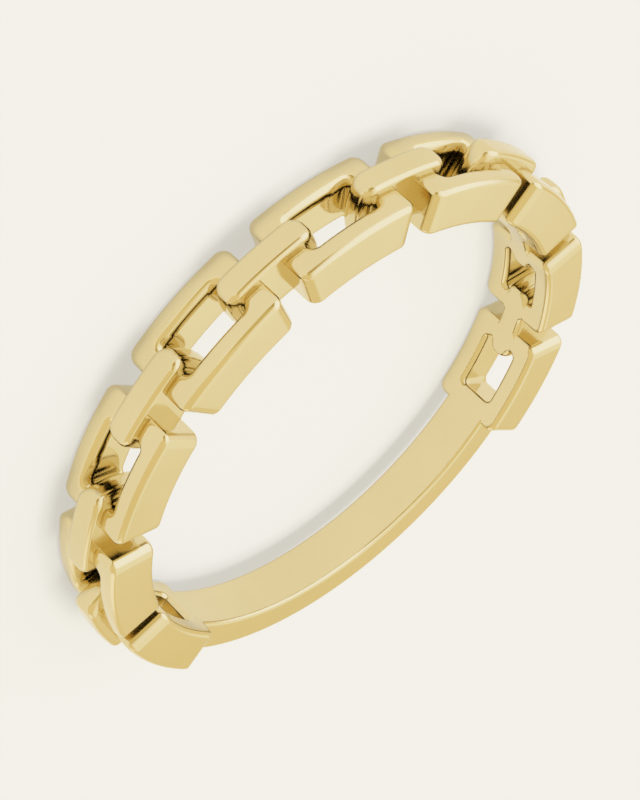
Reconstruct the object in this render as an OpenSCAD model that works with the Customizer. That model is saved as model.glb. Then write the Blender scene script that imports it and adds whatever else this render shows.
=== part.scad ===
// Chain link ring: a plain band whose upper part is a chain of wide frame links
// joined by narrow links on edge. It lies on its side, with the finger's axis along Z.

/* [Finger] */
// Inside diameter of the ring
bore_d = 17.3; // [14:0.1:22]

/* [Chain] */
// Clear space between two wide links, measured at the bore
wide_gap = 0.71; // [0.4:0.01:1.2]
// Clearance between a narrow link and the bar it is hooked over
play = 0.05; // [0.02:0.01:0.1]

/* [Wide links] */
// Width of a wide link, along the finger
wide_w = 2.9; // [2.2:0.05:4]
// Thickness of a wide link, from the bore outwards
wide_t = 1.72; // [1.4:0.02:2.4]
// Width of each side rail
rail_w = 0.81; // [0.5:0.01:0.9]
// Length of each end bar, measured at the bore
end_bar = 0.8; // [0.6:0.01:1]
// Corner radius of the frame, seen from outside
frame_corner_r = 0.39; // [0.1:0.01:0.5]
// Corner radius of the opening, seen from outside
opening_corner_r = 0.2; // [0.05:0.01:0.4]
// Rounding of the edges on the outside
outer_edge_r = 0.2; // [0.05:0.01:0.3]
// Rounding of the edges at the bore
bore_edge_r = 0.17; // [0.05:0.01:0.25]

/* [Narrow links] */
// Width of a narrow link, along the finger
narrow_w = 0.95; // [0.6:0.05:1.2]
// Length of a narrow link at its fullest
narrow_l = 3.53; // [3.2:0.01:3.8]
// Height of a narrow link's top above the wide links
narrow_rise = 0.36; // [0.1:0.02:0.6]
// Radius of the bulging ends, seen from the side
end_r = 3; // [2:0.01:4]
// Height above the bore at which the ends bulge most
end_h = 1.1; // [0.5:0.01:1.4]
// Rounding of the upright edges at the ends
end_edge_r = 0.38; // [0.05:0.01:0.45]
// Rounding between an end and the top, seen from the side
end_top_r = 0.42; // [0.1:0.01:0.5]
// Rounding of the long edges on top
top_edge_r = 0.15; // [0.05:0.01:0.3]
// Rounding of the long edges at the bore
foot_edge_r = 0.1; // [0.02:0.01:0.2]
// Metal of a narrow link that passes under a bar, at the bore
web_t = 0.35; // [0.25:0.01:0.5]
// Depth to which the narrow links are let into the bars from outside
notch_t = 0.12; // [0:0.01:0.25]

/* [Shank] */
// Width of the plain band, along the finger
shank_w = 1.79; // [1.2:0.01:2.8]
// Thickness of the plain band
shank_t = 1.22; // [0.8:0.01:1.6]
// Rounding of the plain band's edges
shank_edge_r = 0.14; // [0.05:0.01:0.4]

/* [Hidden] */
$fn = 96;
gold = [0.87, 0.76, 0.47];
// How far a cut runs past the metal that it goes through
overrun = 1;

// Places around the ring, and how many of them the chain takes. A narrow link lies
// between each two wide links. The first and the last wide link belong to the shank.
places = 12;
wide_links = 9;
pitch = 360 / places;
first_at = 90 + (wide_links - 1) / 2 * pitch;
last_at = 90 - (wide_links - 1) / 2 * pitch;

bore_r = bore_d / 2;
wide_r = bore_r + wide_t;
narrow_r = wide_r + narrow_rise;
shank_r = bore_r + shank_t;
past_r = narrow_r + overrun;
short_r = bore_r - overrun;

// Half angles of a wide link and of its opening, as seen from the ring's centre.
wide_half = (pitch - deg(wide_gap, bore_r)) / 2;
open_half = wide_half - deg(end_bar, bore_r);
open_w = wide_w - 2 * rail_w;

// Upright edges of a narrow link, rounded by no more than this share of its width.
round_share = 0.45;
end_edge = min(end_edge_r, round_share * narrow_w);

// The bar that a narrow link is hooked over, and the window that takes it.
bar_low_r = bore_r + web_t + play;
bar_high_r = wide_r - notch_t - play;

// Angle that a length along the ring covers at a given radius.
function deg(length, radius) = length / radius * 180 / PI;

// Flat sector of a ring, centred on the Y axis.
module sector(r0, r1, half) {
    far = r1 / cos(half) + overrun;
    intersection() {
        difference() {
            circle(r1);
            circle(r0);
        }
        polygon([[0, 0], [far * sin(half), far * cos(half)], [-far * sin(half), far * cos(half)]]);
    }
}

// The same sector with rounded corners: edge0 at the inner arc, edge1 at the outer one.
module rounded_sector(r0, r1, half, edge0, edge1) {
    foot0 = sqrt(pow(r0 + edge0, 2) - pow(edge0, 2));
    foot1 = sqrt(pow(r1 - edge1, 2) - pow(edge1, 2));
    middle = (r0 + r1) / 2;
    sector(foot0, foot1, half);
    sector(r0, middle, half - atan(edge0 / foot0));
    sector(middle, r1, half - atan(edge1 / foot1));
    for (side = [-1, 1])
        rotate([0, 0, side * half]) {
            translate([side * edge0, foot0])
                circle(edge0);
            translate([side * edge1, foot1])
                circle(edge1);
        }
}

// Section of a band, X outwards and Y along the finger, with rounded corners.
module band_section(r0, r1, w, edge0, edge1) {
    translate([r0 + edge0, -w / 2])
        square([r1 - r0 - edge0 - edge1, w]);
    translate([r0, edge0 - w / 2])
        square([edge0, w - 2 * edge0]);
    translate([r1 - edge1, edge1 - w / 2])
        square([edge1, w - 2 * edge1]);
    for (side = [-1, 1]) {
        translate([r0 + edge0, side * (w / 2 - edge0)])
            circle(edge0);
        translate([r1 - edge1, side * (w / 2 - edge1)])
            circle(edge1);
    }
}

// Stretch of a band centred on the Y axis.
module band(r0, r1, w, edge0, edge1, half) {
    rotate([0, 0, 90 - half])
        rotate_extrude(angle = 2 * half)
            band_section(r0, r1, w, edge0, edge1);
}

// What rounding takes off the four radial edges of a block that ends at +-half and +-w/2.
module radial_corners(half, w, r) {
    for (end = [-1, 1], side = [-1, 1])
        rotate([0, 0, end * half])
            translate([end * r, 0, side * (w / 2 - r)])
                difference() {
                    translate([end > 0 ? -r - overrun : 0, short_r, side > 0 ? 0 : -r - overrun])
                        cube([r + overrun, past_r - short_r, r + overrun]);
                    translate([0, short_r - overrun, 0])
                        rotate([-90, 0, 0])
                            cylinder(r = r, h = past_r - short_r + 2 * overrun);
                }
}

// Where a circle about the ring's centre meets another circle [x, y, radius], on its +X side.
function meeting(ring_r, other) =
    let (
        apart = norm([other[0], other[1]]),
        along = (apart * apart + ring_r * ring_r - other[2] * other[2]) / (2 * apart),
        aside = sqrt(ring_r * ring_r - along * along)
    )
    [along * other[0] + aside * other[1], along * other[1] - aside * other[0]] / apart;

// Point at a given distance from a start, towards another point.
function towards(start, point, distance) = start + (point - start) * distance / norm(point - start);

// What rounding takes off an edge along Z, from the point where the rounding starts to
// the point where it ends.
module edge_cut(centre, start, end, r, w) {
    out_a = towards(centre, start, 4 * r);
    out_b = towards(centre, end, 4 * r);
    linear_extrude(w + 2 * overrun, center = true)
        difference() {
            polygon([centre, start, out_a, out_a + out_b - centre, out_b, end]);
            translate(centre)
                circle(r);
        }
}

// Radial opening with rounded corners.
module opening() {
    difference() {
        linear_extrude(open_w, center = true)
            sector(short_r, past_r, open_half);
        radial_corners(open_half, open_w, opening_corner_r);
    }
}

// Room that a narrow link takes out of the end bars, below and above what is left of them.
module bar_notches(ends) {
    for (end = ends)
        linear_extrude(narrow_w + 2 * play, center = true)
            rotate([0, 0, -end * pitch / 2])
                difference() {
                    sector(short_r, past_r, pitch / 2 - open_half / 2);
                    sector(bar_low_r, bar_high_r, pitch / 2);
                }
}

// One wide link, centred on the Y axis. A narrow link is hooked over each end that is
// listed: 1 is the end towards the next link, and -1 the end towards the one before.
module wide_frame(ends) {
    difference() {
        intersection() {
            band(bore_r, wide_r, wide_w, bore_edge_r, outer_edge_r, pitch / 2);
            linear_extrude(wide_w + overrun, center = true)
                rounded_sector(bore_r, wide_r, wide_half, bore_edge_r, outer_edge_r);
        }
        radial_corners(wide_half, wide_w, frame_corner_r);
        opening();
        bar_notches(ends);
    }
}

module wide_link(i) {
    color(gold)
        rotate([0, 0, first_at - i * pitch - 90])
            wide_frame([-1, 1]);
}

// Disc with a rounded rim. Two of them give a narrow link its bulging ends.
module end_disc(side) {
    translate([side * (narrow_l / 2 - end_r), bore_r + end_h, 0])
        rotate_extrude()
            intersection() {
                band_section(-end_r, end_r, narrow_w, end_edge, end_edge);
                translate([0, -narrow_w])
                    square([end_r + overrun, 2 * narrow_w]);
            }
}

// Window for a neighbour's bar, with play all round.
module bar_window(side) {
    rotate([0, 0, -side * pitch / 2])
        linear_extrude(narrow_w + 2 * overrun, center = true)
            difference() {
                sector(bore_r + web_t, wide_r - notch_t, wide_half + deg(play, bore_r));
                sector(short_r, past_r, open_half - deg(play, bore_r));
            }
}

// Rounding of the edges along Z where a bulging end meets the top and the bore.
module end_edge_cuts() {
    disc = [narrow_l / 2 - end_r, bore_r + end_h];
    top = meeting(narrow_r - end_top_r, [disc[0], disc[1], end_r - end_top_r]);
    foot = meeting(bore_r + foot_edge_r, [disc[0], disc[1], end_r - foot_edge_r]);
    edge_cut(top, towards([0, 0], top, narrow_r), towards(disc, top, end_r), end_top_r, narrow_w);
    edge_cut(foot, towards([0, 0], foot, bore_r), towards(disc, foot, end_r), foot_edge_r, narrow_w);
}

// One narrow link, centred on the Y axis.
module narrow_frame() {
    difference() {
        intersection() {
            band(bore_r, narrow_r, narrow_w, foot_edge_r, top_edge_r, pitch / 2);
            end_disc(-1);
            end_disc(1);
        }
        for (side = [-1, 1]) {
            bar_window(side);
            mirror([side < 0 ? 1 : 0, 0, 0])
                end_edge_cuts();
        }
    }
}

module narrow_link(i) {
    color(gold)
        rotate([0, 0, first_at + pitch / 2 - i * pitch - 90])
            narrow_frame();
}

// The plain band with the first and the last wide link soldered to its ends.
module shank() {
    shank_half = (360 - first_at + last_at) / 2 - wide_half + deg(end_bar / 2, bore_r);
    color(gold) {
        rotate([0, 0, 180])
            band(bore_r, shank_r, shank_w, shank_edge_r, shank_edge_r, shank_half);
        rotate([0, 0, first_at - 90])
            wide_frame([1]);
        rotate([0, 0, last_at - 90])
            wide_frame([-1]);
    }
}

shank();
for (i = [1 : wide_links - 2])
    wide_link(i);
for (i = [1 : wide_links - 1])
    narrow_link(i);
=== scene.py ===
"""Finished look of the chain link ring: every piece redrawn with its rounded edges and
the rounded rims of its openings, polished yellow gold, a pale floor and soft light.

The wide links and the plain band are lofted and joined, the narrow links are lofted and
windowed, all in millimetres about the finger's axis. Each is then turned to its place."""
import math

import bmesh
import bpy
import numpy as np
from mathutils import Matrix, Vector


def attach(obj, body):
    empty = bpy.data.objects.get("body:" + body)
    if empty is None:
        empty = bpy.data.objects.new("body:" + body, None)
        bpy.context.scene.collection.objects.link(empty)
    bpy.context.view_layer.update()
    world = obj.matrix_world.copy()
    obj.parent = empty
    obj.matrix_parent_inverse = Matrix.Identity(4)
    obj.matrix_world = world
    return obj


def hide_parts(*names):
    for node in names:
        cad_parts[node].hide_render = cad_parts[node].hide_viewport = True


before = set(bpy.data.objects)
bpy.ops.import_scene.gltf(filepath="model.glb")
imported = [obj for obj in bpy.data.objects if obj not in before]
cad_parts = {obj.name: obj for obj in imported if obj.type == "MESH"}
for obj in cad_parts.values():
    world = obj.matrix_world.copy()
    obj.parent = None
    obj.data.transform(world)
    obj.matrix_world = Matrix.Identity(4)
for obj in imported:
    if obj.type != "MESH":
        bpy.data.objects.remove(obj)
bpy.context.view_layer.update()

# Sizes in mm, as in the CAD source. Pieces are drawn in mm and scaled at the end.
MM = 0.001
BORE_R = 8.65
PITCH = 30.0
FIRST_AT = 210.0
LAST_AT = -30.0
WIDE_LINKS = 9

WIDE_R = 10.37
WIDE_W = 2.9
WIDE_GAP = 0.71
RAIL_W = 0.81
END_BAR = 0.8
FRAME_CORNER_R = 0.39
OPENING_CORNER_R = 0.2
# Oval roundings of the frames' edges and of the openings' rims, as (width, depth)
OUTER_EDGE = (0.33, 0.2)
OUTER_RIM = (0.3, 0.42)
BORE_EDGE = (0.24, 0.19)
BORE_RIM = (0.23, 0.2)

NARROW_R = 10.73
NARROW_W = 0.95
NARROW_L = 3.53
END_R = 3.0
END_H = 1.1
END_EDGE_R = 0.38
END_TOP_R = 0.42
END_FOOT_R = 0.12
TOP_EDGE = (0.24, 0.15)
FOOT_EDGE_R = 0.22
# Where a narrow link's foot lies flush in a bar it keeps a nearly sharp edge, and this
# is the length over which the edge changes
FLUSH_EDGE_R = 0.004
FOOT_FADE = 0.05
WEB_T = 0.35

SHANK_R = 9.87
SHANK_W = 1.79
SHANK_EDGE = (0.14, 0.14)

# Depth below the wide links' top at which a narrow link closes over a bar
WINDOW_DEPTH = 0.44
# How far the bars' metal runs into the narrow links, so that no slit shows
SINK = 0.004
# How far the cutter for a wide link runs past the bore, and the windows' cutter from
# mid width
OVERRUN = 0.1
WINDOW_REACH = 1.0
# Fine seam beside a narrow link, as it shows on a bar's outside
SEAM_W = 0.1
SEAM_DEPTH = 0.05
# How far the plain band stands proud at the bore, so that it hides the seam
BAND_PROUD = 0.002

# Fineness of the meshes, in steps
ROUND_STEPS = 8
CORNER_STEPS = 12
ALONG_STEPS = 10
FACE_STEPS = 5
WALL_STEPS = 6
SEAM_STEPS = 6
WINDOW_STEPS = 6
NARROW_STEPS = 12
BAND_STEPS = 96
# Distances from mid width at which the frames have points: close together at the seams
SEAM_AT = NARROW_W / 2
FRAME_ACROSS = ([0, SEAM_AT - 0.315, SEAM_AT - 0.165, SEAM_AT - 0.055, SEAM_AT - 0.02]
                + [SEAM_AT + SEAM_W * step / SEAM_STEPS for step in range(SEAM_STEPS + 1)]
                + [SEAM_AT + 0.125])
NARROW_ACROSS = [0, NARROW_W / 2 - END_EDGE_R - SINK]
# Heights above the bore and depths below the top at which a narrow link has extra points
FOOT_RISES = [0.0, 0.004, 0.012]
TOP_FALLS = [END_TOP_R, 0.35, 0.29, 0.24, 0.19]

# Edges that turn by less are shaded smooth, and flat faces keep this weight in the shading
SMOOTH_BELOW = math.radians(32)
FLAT_WEIGHT = 80

WIDE_HALF = (math.radians(PITCH) - WIDE_GAP / BORE_R) / 2
OPEN_HALF = WIDE_HALF - END_BAR / BORE_R
OPEN_W = WIDE_W - 2 * RAIL_W


def outline(half_length, half_width, corner, across):
    """Rounded rectangle as (along, across) points: point 0 is the middle of an end, and
    point i mirrors point n-i. The first points lie at the given distances across."""
    straight = half_width - corner

    def on_arc(turn):
        return (half_length - corner + corner * math.cos(turn),
                straight + corner * math.sin(turn))

    points = [(half_length, z) if z <= straight else on_arc(math.asin((z - straight) / corner))
              for z in across]
    line = max(straight - across[-1], 0)
    first_turn = math.asin(max(across[-1] - straight, 0) / corner)
    length = line + (math.pi / 2 - first_turn) * corner
    for step in range(1, CORNER_STEPS + 1):
        run = length * step / CORNER_STEPS
        points.append((half_length, across[-1] + run) if run < line
                      else on_arc(first_turn + (run - line) / corner))
    points += [((half_length - corner) * (1 - step / ALONG_STEPS), half_width)
               for step in range(1, ALONG_STEPS + 1)]
    quarter = np.array(points)
    half = np.concatenate([quarter, quarter[-2::-1] * (-1, 1)])
    return np.concatenate([half, half[-2:0:-1] * (1, -1)])


def wrap(points, radius):
    """Lays (along, across) points on a cylinder about Z, centred on the Y axis."""
    turn = math.pi / 2 - points[:, 0] / radius
    return np.stack([radius * np.cos(turn), radius * np.sin(turn), points[:, 1]], axis=1)


def rounding(width, depth):
    """Steps of an oval rounding from the side to the face, as distances (below the face,
    in from the side)."""
    turns = [math.pi / 2 * step / ROUND_STEPS for step in range(ROUND_STEPS + 1)]
    return [(depth * (1 - math.sin(turn)), width * (1 - math.cos(turn))) for turn in turns]


def side_levels(low, high, low_round, high_round):
    """(radius, inset) from the lower face to the upper one, with both edges rounded."""
    lower = [(low + below, inset) for below, inset in reversed(rounding(*low_round))]
    upper = [(high - below, inset) for below, inset in rounding(*high_round)]
    return lower + upper


def new_mesh(name, vertices, faces):
    """Mesh from points and faces, checked by Blender."""
    mesh = bpy.data.meshes.new(name)
    mesh.from_pydata([tuple(v) for v in vertices], [], faces)
    mesh.validate()
    return mesh


def stitched(name, loops, closed):
    """Mesh through loops of equally many points: closed on itself, or capped by strips."""
    count = len(loops[0])
    faces = []
    pairs = len(loops) if closed else len(loops) - 1
    for level in range(pairs):
        low = level * count
        high = (level + 1) % len(loops) * count
        faces += [(low + i, high + i, high + (i + 1) % count, low + (i + 1) % count)
                  for i in range(count)]
    if not closed:
        top = (len(loops) - 1) * count
        half = count // 2
        strips = [[i, i + 1, count - i - 1, count - i] for i in range(2, half - 2)]
        strips += [[0, 1, 2, count - 2, count - 1],
                   [half - 2, half - 1, half, half + 1, half + 2]]
        faces += strips + [[top + j for j in reversed(strip)] for strip in strips]
    return new_mesh(name, np.concatenate(loops), faces)


def frame_mesh():
    """A wide link before anything is cut for the narrow links, centred on the Y axis."""
    def outer(radius, inset):
        return (WIDE_HALF * radius - inset, WIDE_W / 2 - inset, FRAME_CORNER_R - inset)

    def inner(radius, inset):
        return (OPEN_HALF * radius + inset, OPEN_W / 2 + inset, OPENING_CORNER_R + inset)

    def between(start, end, steps):
        return [(start[0] + (end[0] - start[0]) * step / steps,
                 [a + (b - a) * step / steps for a, b in zip(start[1], end[1])])
                for step in range(1, steps)]

    def side(sizes, low_round, high_round):
        levels = [(radius, sizes(radius, inset))
                  for radius, inset in side_levels(BORE_R, WIDE_R, low_round, high_round)]
        middle = len(levels) // 2
        return (levels[:middle] + between(levels[middle - 1], levels[middle], WALL_STEPS)
                + levels[middle:])

    outside = side(outer, BORE_EDGE, OUTER_EDGE)
    inside = side(inner, BORE_RIM, OUTER_RIM)[::-1]
    levels = (outside + between(outside[-1], inside[0], FACE_STEPS)
              + inside + between(inside[-1], outside[0], FACE_STEPS))
    return stitched("wide", [wrap(outline(*sizes, FRAME_ACROSS), radius)
                             for radius, sizes in levels], closed=True)


def seamed(mesh, ends):
    """Lowers the bars' outsides in a soft seam beside the narrow links. ends tells which
    bars have one: 1 the bar ahead, -1 the bar behind, 0 both."""
    moves = []
    for vertex in mesh.vertices:
        gap = max(abs(vertex.co.z) - NARROW_W / 2, 0)
        if gap < SEAM_W and vertex.co.x * ends >= 0:
            outwards = vertex.normal.dot(Vector((vertex.co.x, vertex.co.y, 0)).normalized())
            drop = SEAM_DEPTH * (1 - gap / SEAM_W) ** 2 * max(outwards, 0) ** 2
            moves.append((vertex, vertex.normal * -drop))
    for vertex, move in moves:
        vertex.co += move
    return mesh


def meeting(radius, x, y, circle_r):
    """Length along the ring, at a radius, to where it meets the circle about (x, y)."""
    apart = math.hypot(x, y)
    along = (apart ** 2 + radius ** 2 - circle_r ** 2) / (2 * apart)
    aside = math.sqrt(max(radius ** 2 - along ** 2, 0))
    reach_x, reach_y = (along * x + aside * y) / apart, (along * y - aside * x) / apart
    return math.atan2(reach_x, reach_y) * radius


def end_reach(radius, grow):
    """Half length, along the ring, of a narrow link at a radius, with rounded ends."""
    x, y, disc_r = NARROW_L / 2 - END_R, BORE_R + END_H, END_R + grow
    ends = ((NARROW_R + grow, 1, END_TOP_R), (BORE_R - grow, -1, END_FOOT_R))
    for limit, inwards, round_r in ends:
        ring_r, arc_r = limit - inwards * round_r, disc_r - round_r
        turn = meeting(ring_r, x, y, arc_r) / ring_r
        centre_x, centre_y = ring_r * math.sin(turn), ring_r * math.cos(turn)
        share = disc_r / arc_r
        tangent_r = math.hypot(x + (centre_x - x) * share, y + (centre_y - y) * share)
        if (radius - tangent_r) * inwards > 0:
            radius = min(radius, limit) if inwards > 0 else max(radius, limit)
            return meeting(radius, centre_x, centre_y, round_r)
    return meeting(radius, x, y, disc_r)


def bar_window(grow):
    """Cutter for a narrow link's two windows, which the neighbours' bars pass through."""
    low, high = BORE_R + WEB_T + grow, WIDE_R - WINDOW_DEPTH - grow
    inwards = (SINK / 2 + grow) / BORE_R
    start = math.radians(PITCH) / 2 - WIDE_HALF + inwards
    end = math.radians(PITCH) / 2 - OPEN_HALF - inwards
    vertices, faces = [], []
    for side in (-1, 1):
        first = len(vertices)
        for step in range(WINDOW_STEPS + 1):
            turn = math.pi / 2 - side * (start + (end - start) * step / WINDOW_STEPS)
            for radius in (low, high):
                for across in (-WINDOW_REACH, WINDOW_REACH):
                    vertices.append((radius * math.cos(turn), radius * math.sin(turn), across))
        for step in range(WINDOW_STEPS):
            a = first + 4 * step
            b = a + 4
            ring = [(a, a + 1, b + 1, b), (a + 2, b + 2, b + 3, a + 3),
                    (a, b, b + 2, a + 2), (a + 1, a + 3, b + 3, b + 1)]
            faces += ring if side > 0 else [quad[::-1] for quad in ring]
        last = first + 4 * WINDOW_STEPS
        caps = [(first, first + 2, first + 3, first + 1), (last, last + 1, last + 3, last + 2)]
        faces += caps if side > 0 else [quad[::-1] for quad in caps]
    return new_mesh("window", vertices, faces)


def smooth_step(low, high, value):
    """Rises softly from 0 at low to 1 at high."""
    share = min(max((value - low) / (high - low), 0), 1)
    return share * share * (3 - 2 * share)


def foot_edge(along):
    """Rounding of a narrow link's long edges at the bore: less where a bar holds the foot."""
    gap_side = WIDE_GAP / 2
    open_side = (math.radians(PITCH) / 2 - OPEN_HALF) * BORE_R
    held = (smooth_step(gap_side - FOOT_FADE, gap_side + BORE_EDGE[0], abs(along))
            * (1 - smooth_step(open_side - BORE_RIM[0], open_side + FOOT_FADE, abs(along))))
    return FOOT_EDGE_R + (FLUSH_EDGE_R - FOOT_EDGE_R) * held


def rounded_in(below, width, depth):
    """How far an oval rounding of an edge is set in, at a distance below the face."""
    return width * (1 - math.sqrt(1 - max(1 - below / depth, 0) ** 2))


def narrow_mesh(grow, overrun=0):
    """A narrow link, centred on the Y axis, with every face moved out by grow. As a cutter
    it also runs past the bore by overrun."""
    foot, top = BORE_R - grow, NARROW_R + grow
    rises = [below for below, _ in rounding(FOOT_EDGE_R, FOOT_EDGE_R)][::-1]
    falls = TOP_FALLS + [below for below, _ in rounding(*TOP_EDGE)]
    low, high = foot + rises[-1], top - falls[0]
    radii = ([foot + rise for rise in FOOT_RISES + rises[1:]]
             + [low + (high - low) * step / NARROW_STEPS for step in range(1, NARROW_STEPS)]
             + [top - fall for fall in falls])
    loops = []
    for radius in radii:
        inset = rounded_in(top - radius, *TOP_EDGE)
        points = outline(end_reach(radius, grow), NARROW_W / 2 + grow - inset,
                         END_EDGE_R - inset, NARROW_ACROSS)
        for point in points:
            edge = foot_edge(point[0])
            point[1] *= 1 - rounded_in(radius - foot, edge, edge) / (NARROW_W / 2 + grow)
        loops.append(wrap(points, radius))
    if overrun:
        lowest = loops[0].copy()
        lowest[:, :2] *= 1 - overrun / foot
        loops.insert(0, lowest)
    return cut(stitched("narrow", loops, closed=False), [bar_window(grow)])


def band_mesh():
    """The plain band, from inside one end link's bar to inside the other's."""
    bore = BORE_R - BAND_PROUD
    half = [(radius, SHANK_W / 2 - inset)
            for radius, inset in side_levels(bore, SHANK_R, SHANK_EDGE, SHANK_EDGE)]
    section = half + [(radius, -across) for radius, across in reversed(half)]
    into_bar = (WIDE_HALF + OPEN_HALF) / 2
    start = math.radians(FIRST_AT) + into_bar
    end = math.radians(LAST_AT + 360) - into_bar
    count = len(section)
    vertices = [(radius * math.cos(turn), radius * math.sin(turn), across)
                for turn in np.linspace(start, end, BAND_STEPS + 1)
                for radius, across in section]
    faces = [(a + i, a + (i + 1) % count, a + count + (i + 1) % count, a + count + i)
             for a in range(0, BAND_STEPS * count, count) for i in range(count)]
    last = BAND_STEPS * count
    faces += [tuple(range(count - 1, -1, -1)), tuple(range(last, last + count))]
    return new_mesh("band", vertices, faces)


def consistent(mesh):
    """Turns every face outwards."""
    work = bmesh.new()
    work.from_mesh(mesh)
    bmesh.ops.recalc_face_normals(work, faces=work.faces)
    if work.calc_volume(signed=True) < 0:
        bmesh.ops.reverse_faces(work, faces=work.faces)
    work.to_mesh(mesh)
    work.free()
    return mesh


def combined(mesh, others, operation):
    """Boolean of a closed mesh with other closed ones, as a new mesh."""
    target = bpy.data.objects.new("target", consistent(mesh))
    bpy.context.scene.collection.objects.link(target)
    tools = []
    for other in others:
        tool = bpy.data.objects.new("tool", consistent(other))
        bpy.context.scene.collection.objects.link(tool)
        tools.append(tool)
        step = target.modifiers.new("combine", "BOOLEAN")
        step.operation = operation
        step.solver = "MANIFOLD"
        step.object = tool
    bpy.context.view_layer.update()
    result = bpy.data.meshes.new_from_object(
        target.evaluated_get(bpy.context.evaluated_depsgraph_get()))
    for helper in [target] + tools:
        bpy.data.objects.remove(helper)
    return result


def cut(mesh, cutters):
    """A mesh without what the cutters take away."""
    return combined(mesh, cutters, "DIFFERENCE")


def turned(mesh, degrees):
    """A copy of a mesh, turned about the finger's axis."""
    copy = mesh.copy()
    copy.transform(Matrix.Rotation(math.radians(degrees), 4, "Z"))
    return copy


def split(mesh):
    """Splits faces of more than four corners, so that none folds over itself."""
    work = bmesh.new()
    work.from_mesh(mesh)
    many = [face for face in work.faces if len(face.verts) > 4]
    bmesh.ops.triangulate(work, faces=many, ngon_method="BEAUTY")
    work.to_mesh(mesh)
    work.free()


def finished(mesh):
    """Smooth faces with crisp flats, as a new mesh."""
    split(mesh)
    mesh.shade_smooth()
    mesh.set_sharp_from_angle(angle=SMOOTH_BELOW)
    holder = bpy.data.objects.new("holder", mesh)
    bpy.context.scene.collection.objects.link(holder)
    weights = holder.modifiers.new("flats", "WEIGHTED_NORMAL")
    weights.keep_sharp = True
    weights.weight = FLAT_WEIGHT
    bpy.context.view_layer.update()
    result = bpy.data.meshes.new_from_object(
        holder.evaluated_get(bpy.context.evaluated_depsgraph_get()))
    bpy.data.objects.remove(holder)
    return result


def add_piece(node, mesh, degrees, material):
    """Puts a finished mesh in a CAD node's place."""
    own = turned(mesh, degrees)
    own.transform(Matrix.Scale(MM, 4))
    own.materials.clear()
    own.materials.append(material)
    piece = bpy.data.objects.new(node + "_polished", own)
    bpy.context.scene.collection.objects.link(piece)
    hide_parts(node)
    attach(piece, "root")


def polished_gold():
    """Yellow gold with a soft polish: faint unevenness, hairline marks and tone."""
    material = bpy.data.materials.new("polished_gold")
    material.use_nodes = True
    nodes, links = material.node_tree.nodes, material.node_tree.links
    shader = nodes["Principled BSDF"]
    shader.inputs["Metallic"].default_value = 1.0

    place = nodes.new("ShaderNodeTexCoord")

    tone = nodes.new("ShaderNodeTexNoise")
    tone.inputs["Scale"].default_value = 260
    tone.inputs["Detail"].default_value = 2
    links.new(place.outputs["Object"], tone.inputs["Vector"])
    colour = nodes.new("ShaderNodeValToRGB")
    colour.color_ramp.elements[0].position = 0.35
    colour.color_ramp.elements[0].color = (0.83, 0.705, 0.405, 1)
    colour.color_ramp.elements[1].position = 0.65
    colour.color_ramp.elements[1].color = (0.85, 0.725, 0.430, 1)
    links.new(tone.outputs["Fac"], colour.inputs["Fac"])
    links.new(colour.outputs["Color"], shader.inputs["Base Color"])

    wear = nodes.new("ShaderNodeTexNoise")
    wear.inputs["Scale"].default_value = 1400
    wear.inputs["Detail"].default_value = 4
    links.new(place.outputs["Object"], wear.inputs["Vector"])
    gloss = nodes.new("ShaderNodeMapRange")
    gloss.inputs["To Min"].default_value = 0.09
    gloss.inputs["To Max"].default_value = 0.15
    links.new(wear.outputs["Fac"], gloss.inputs["Value"])
    links.new(gloss.outputs["Result"], shader.inputs["Roughness"])

    waves = nodes.new("ShaderNodeTexNoise")
    waves.inputs["Scale"].default_value = 420
    waves.inputs["Detail"].default_value = 1
    links.new(place.outputs["Object"], waves.inputs["Vector"])
    bump = nodes.new("ShaderNodeBump")
    bump.inputs["Strength"].default_value = 0.25
    bump.inputs["Distance"].default_value = 0.00002
    links.new(waves.outputs["Fac"], bump.inputs["Height"])
    links.new(bump.outputs["Normal"], shader.inputs["Normal"])
    return material


def build_ring():
    """Makes one mesh of each kind and puts it in every place where it belongs."""
    gold = polished_gold()
    narrow = narrow_mesh(0)
    hook = narrow_mesh(-SINK, overrun=OVERRUN)
    ahead, behind = turned(hook, -PITCH / 2), turned(hook, PITCH / 2)
    wide = finished(cut(seamed(frame_mesh(), 0), [ahead.copy(), behind.copy()]))
    first = turned(cut(seamed(frame_mesh(), 1), [ahead.copy()]), FIRST_AT - 90)
    last = turned(cut(seamed(frame_mesh(), -1), [behind.copy()]), LAST_AT - 90)
    shank = finished(combined(band_mesh(), [first, last], "UNION"))
    narrow = finished(narrow)

    add_piece("shank", shank, 0, gold)
    for i in range(1, WIDE_LINKS - 1):
        add_piece("wide_link_%d" % i, wide, FIRST_AT - PITCH * i - 90, gold)
    for i in range(1, WIDE_LINKS):
        add_piece("narrow_link_%d" % i, narrow, FIRST_AT + PITCH / 2 - PITCH * i - 90, gold)


def lay_floor():
    """A pale floor that glows a little, like a light table. The reach is in metres."""
    reach = 4.0
    corners = [(-reach, -reach, 0), (reach, -reach, 0), (reach, reach, 0), (-reach, reach, 0)]
    mesh = bpy.data.meshes.new("floor")
    mesh.from_pydata(corners, [], [(0, 1, 2, 3)])
    floor = bpy.data.objects.new("floor", mesh)
    floor.location.z = -WIDE_W / 2 * MM
    bpy.context.scene.collection.objects.link(floor)
    material = bpy.data.materials.new("pale_floor")
    material.use_nodes = True
    shader = material.node_tree.nodes["Principled BSDF"]
    shader.inputs["Base Color"].default_value = (0.14, 0.139, 0.134, 1)
    shader.inputs["Emission Color"].default_value = (0.564, 0.549, 0.507, 1)
    shader.inputs["Emission Strength"].default_value = 1.0
    shader.inputs["Roughness"].default_value = 0.9
    shader.inputs["Specular IOR Level"].default_value = 0.1
    mesh.materials.append(material)


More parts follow.
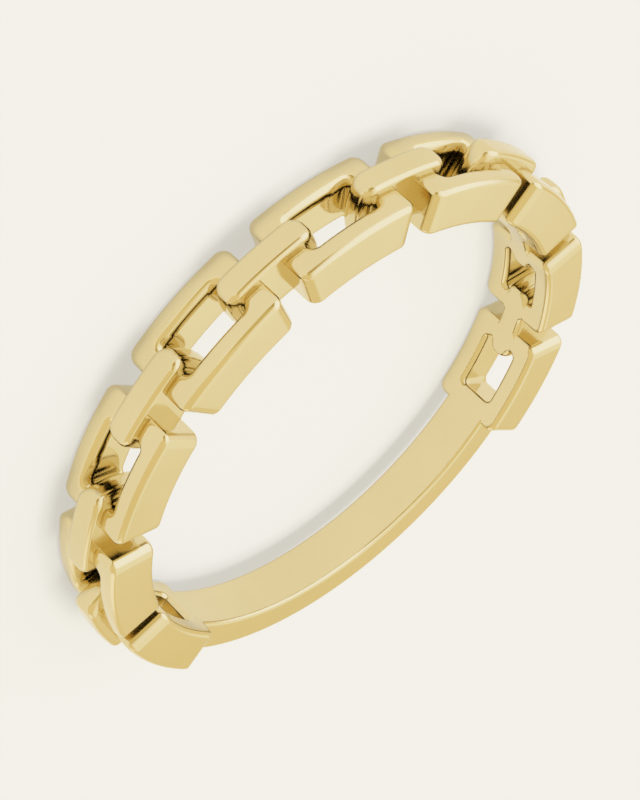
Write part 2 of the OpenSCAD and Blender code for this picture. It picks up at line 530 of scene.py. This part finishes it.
def softbox(name, at, size, power):
    """Square area light, in metres and watts, that faces the ring. Metal doesn't mirror it,
    so that it lights the floor alone."""
    lamp = bpy.data.lights.new(name, "AREA")
    lamp.shape = "SQUARE"
    lamp.size = size
    lamp.energy = power
    box = bpy.data.objects.new(name, lamp)
    box.location = at
    box.rotation_euler = (-Vector(at)).to_track_quat("-Z", "Y").to_euler()
    box.visible_glossy = False
    bpy.context.scene.collection.objects.link(box)


def lobe(tree, direction, inner, outer):
    """How far a world direction is inside a soft round area: 1 within inner degrees of the
    direction's (azimuth, elevation), 0 beyond outer."""
    nodes, links = tree.nodes, tree.links
    azimuth, elevation = map(math.radians, direction)
    place = nodes.new("ShaderNodeTexCoord")
    facing = nodes.new("ShaderNodeVectorMath")
    facing.operation = "DOT_PRODUCT"
    facing.inputs[1].default_value = (math.cos(elevation) * math.cos(azimuth),
                                      math.cos(elevation) * math.sin(azimuth),
                                      math.sin(elevation))
    links.new(place.outputs["Generated"], facing.inputs[0])
    fade = nodes.new("ShaderNodeMapRange")
    fade.interpolation_type = "SMOOTHSTEP"
    fade.inputs["From Min"].default_value = math.cos(math.radians(outer))
    fade.inputs["From Max"].default_value = math.cos(math.radians(inner))
    links.new(facing.outputs["Value"], fade.inputs["Value"])
    return fade.outputs["Result"]


def light_studio():
    """A dim warm room with large soft lights. Each is given by its direction (azimuth,
    elevation), the angles at which it starts and ends to fade, and its colour."""
    world = bpy.data.worlds.new("studio")
    world.use_nodes = True
    tree = world.node_tree
    back = tree.nodes["Background"]
    back.inputs["Strength"].default_value = 1.0
    room = (0.82, 0.72, 0.46, 1)
    lights = (
        ((325, 66), 40, 48, (0.92, 0.92, 0.85, 1)),
        ((60, 50), 25, 45, (0.95, 0.95, 0.95, 1)),
        ((35, 26), 28, 50, (1.02, 1.1, 1.36, 1)),
        ((126, -4), 6, 18, (0.98, 0.98, 0.95, 1)),
        ((227, 14), 8, 24, (1.0, 1.0, 1.0, 1)),
        ((93, 4), 6, 19, (0.52, 0.38, 0.12, 1)),
        ((114, 18), 3, 14, (0.62, 0.52, 0.23, 1)),
    )
    colour = None
    for direction, inner, outer, tint in lights:
        mix = tree.nodes.new("ShaderNodeMix")
        mix.data_type = "RGBA"
        mix.inputs["A"].default_value = room
        if colour:
            tree.links.new(colour, mix.inputs["A"])
        mix.inputs["B"].default_value = tint
        tree.links.new(lobe(tree, direction, inner, outer), mix.inputs["Factor"])
        colour = mix.outputs["Result"]
    tree.links.new(colour, back.inputs["Color"])
    bpy.context.scene.world = world
    softbox("overhead", at=(0.0, 0.0, 0.5), size=0.3, power=4.0)


def place_camera():
    """The photograph's viewpoint, as seen from the finger hole's centre. Lengths in mm."""
    azimuth, elevation, roll = map(math.radians, (115.021, 26.327, 133.396))
    distance, aside, above = 82.8355, -0.366, 0.325
    focal_px, image_height = 2473.41, 800
    back = Vector((math.cos(elevation) * math.cos(azimuth),
                   math.cos(elevation) * math.sin(azimuth), math.sin(elevation)))
    level = Vector((0, 0, 1)).cross(back).normalized()
    upright = back.cross(level)
    right = math.cos(roll) * level + math.sin(roll) * upright
    up = -math.sin(roll) * level + math.cos(roll) * upright
    data = bpy.data.cameras.new("camera")
    data.sensor_fit = "VERTICAL"
    data.sensor_height = 36
    data.lens = focal_px * data.sensor_height / image_height
    data.clip_start = 0.005
    data.clip_end = 20
    camera = bpy.data.objects.new("camera", data)
    turn = Matrix((right, up, back)).transposed().to_4x4()
    camera.matrix_world = Matrix.Translation(
        (distance * back + aside * right + above * up) * MM) @ turn
    bpy.context.scene.collection.objects.link(camera)
    bpy.context.scene.camera = camera


build_ring()
lay_floor()
light_studio()
place_camera()
bpy.context.scene.view_settings.view_transform = "Standard"
# Metal mirrored in metal is left dark after three steps, which gives the openings depth
bpy.context.scene.cycles.glossy_bounces = 3
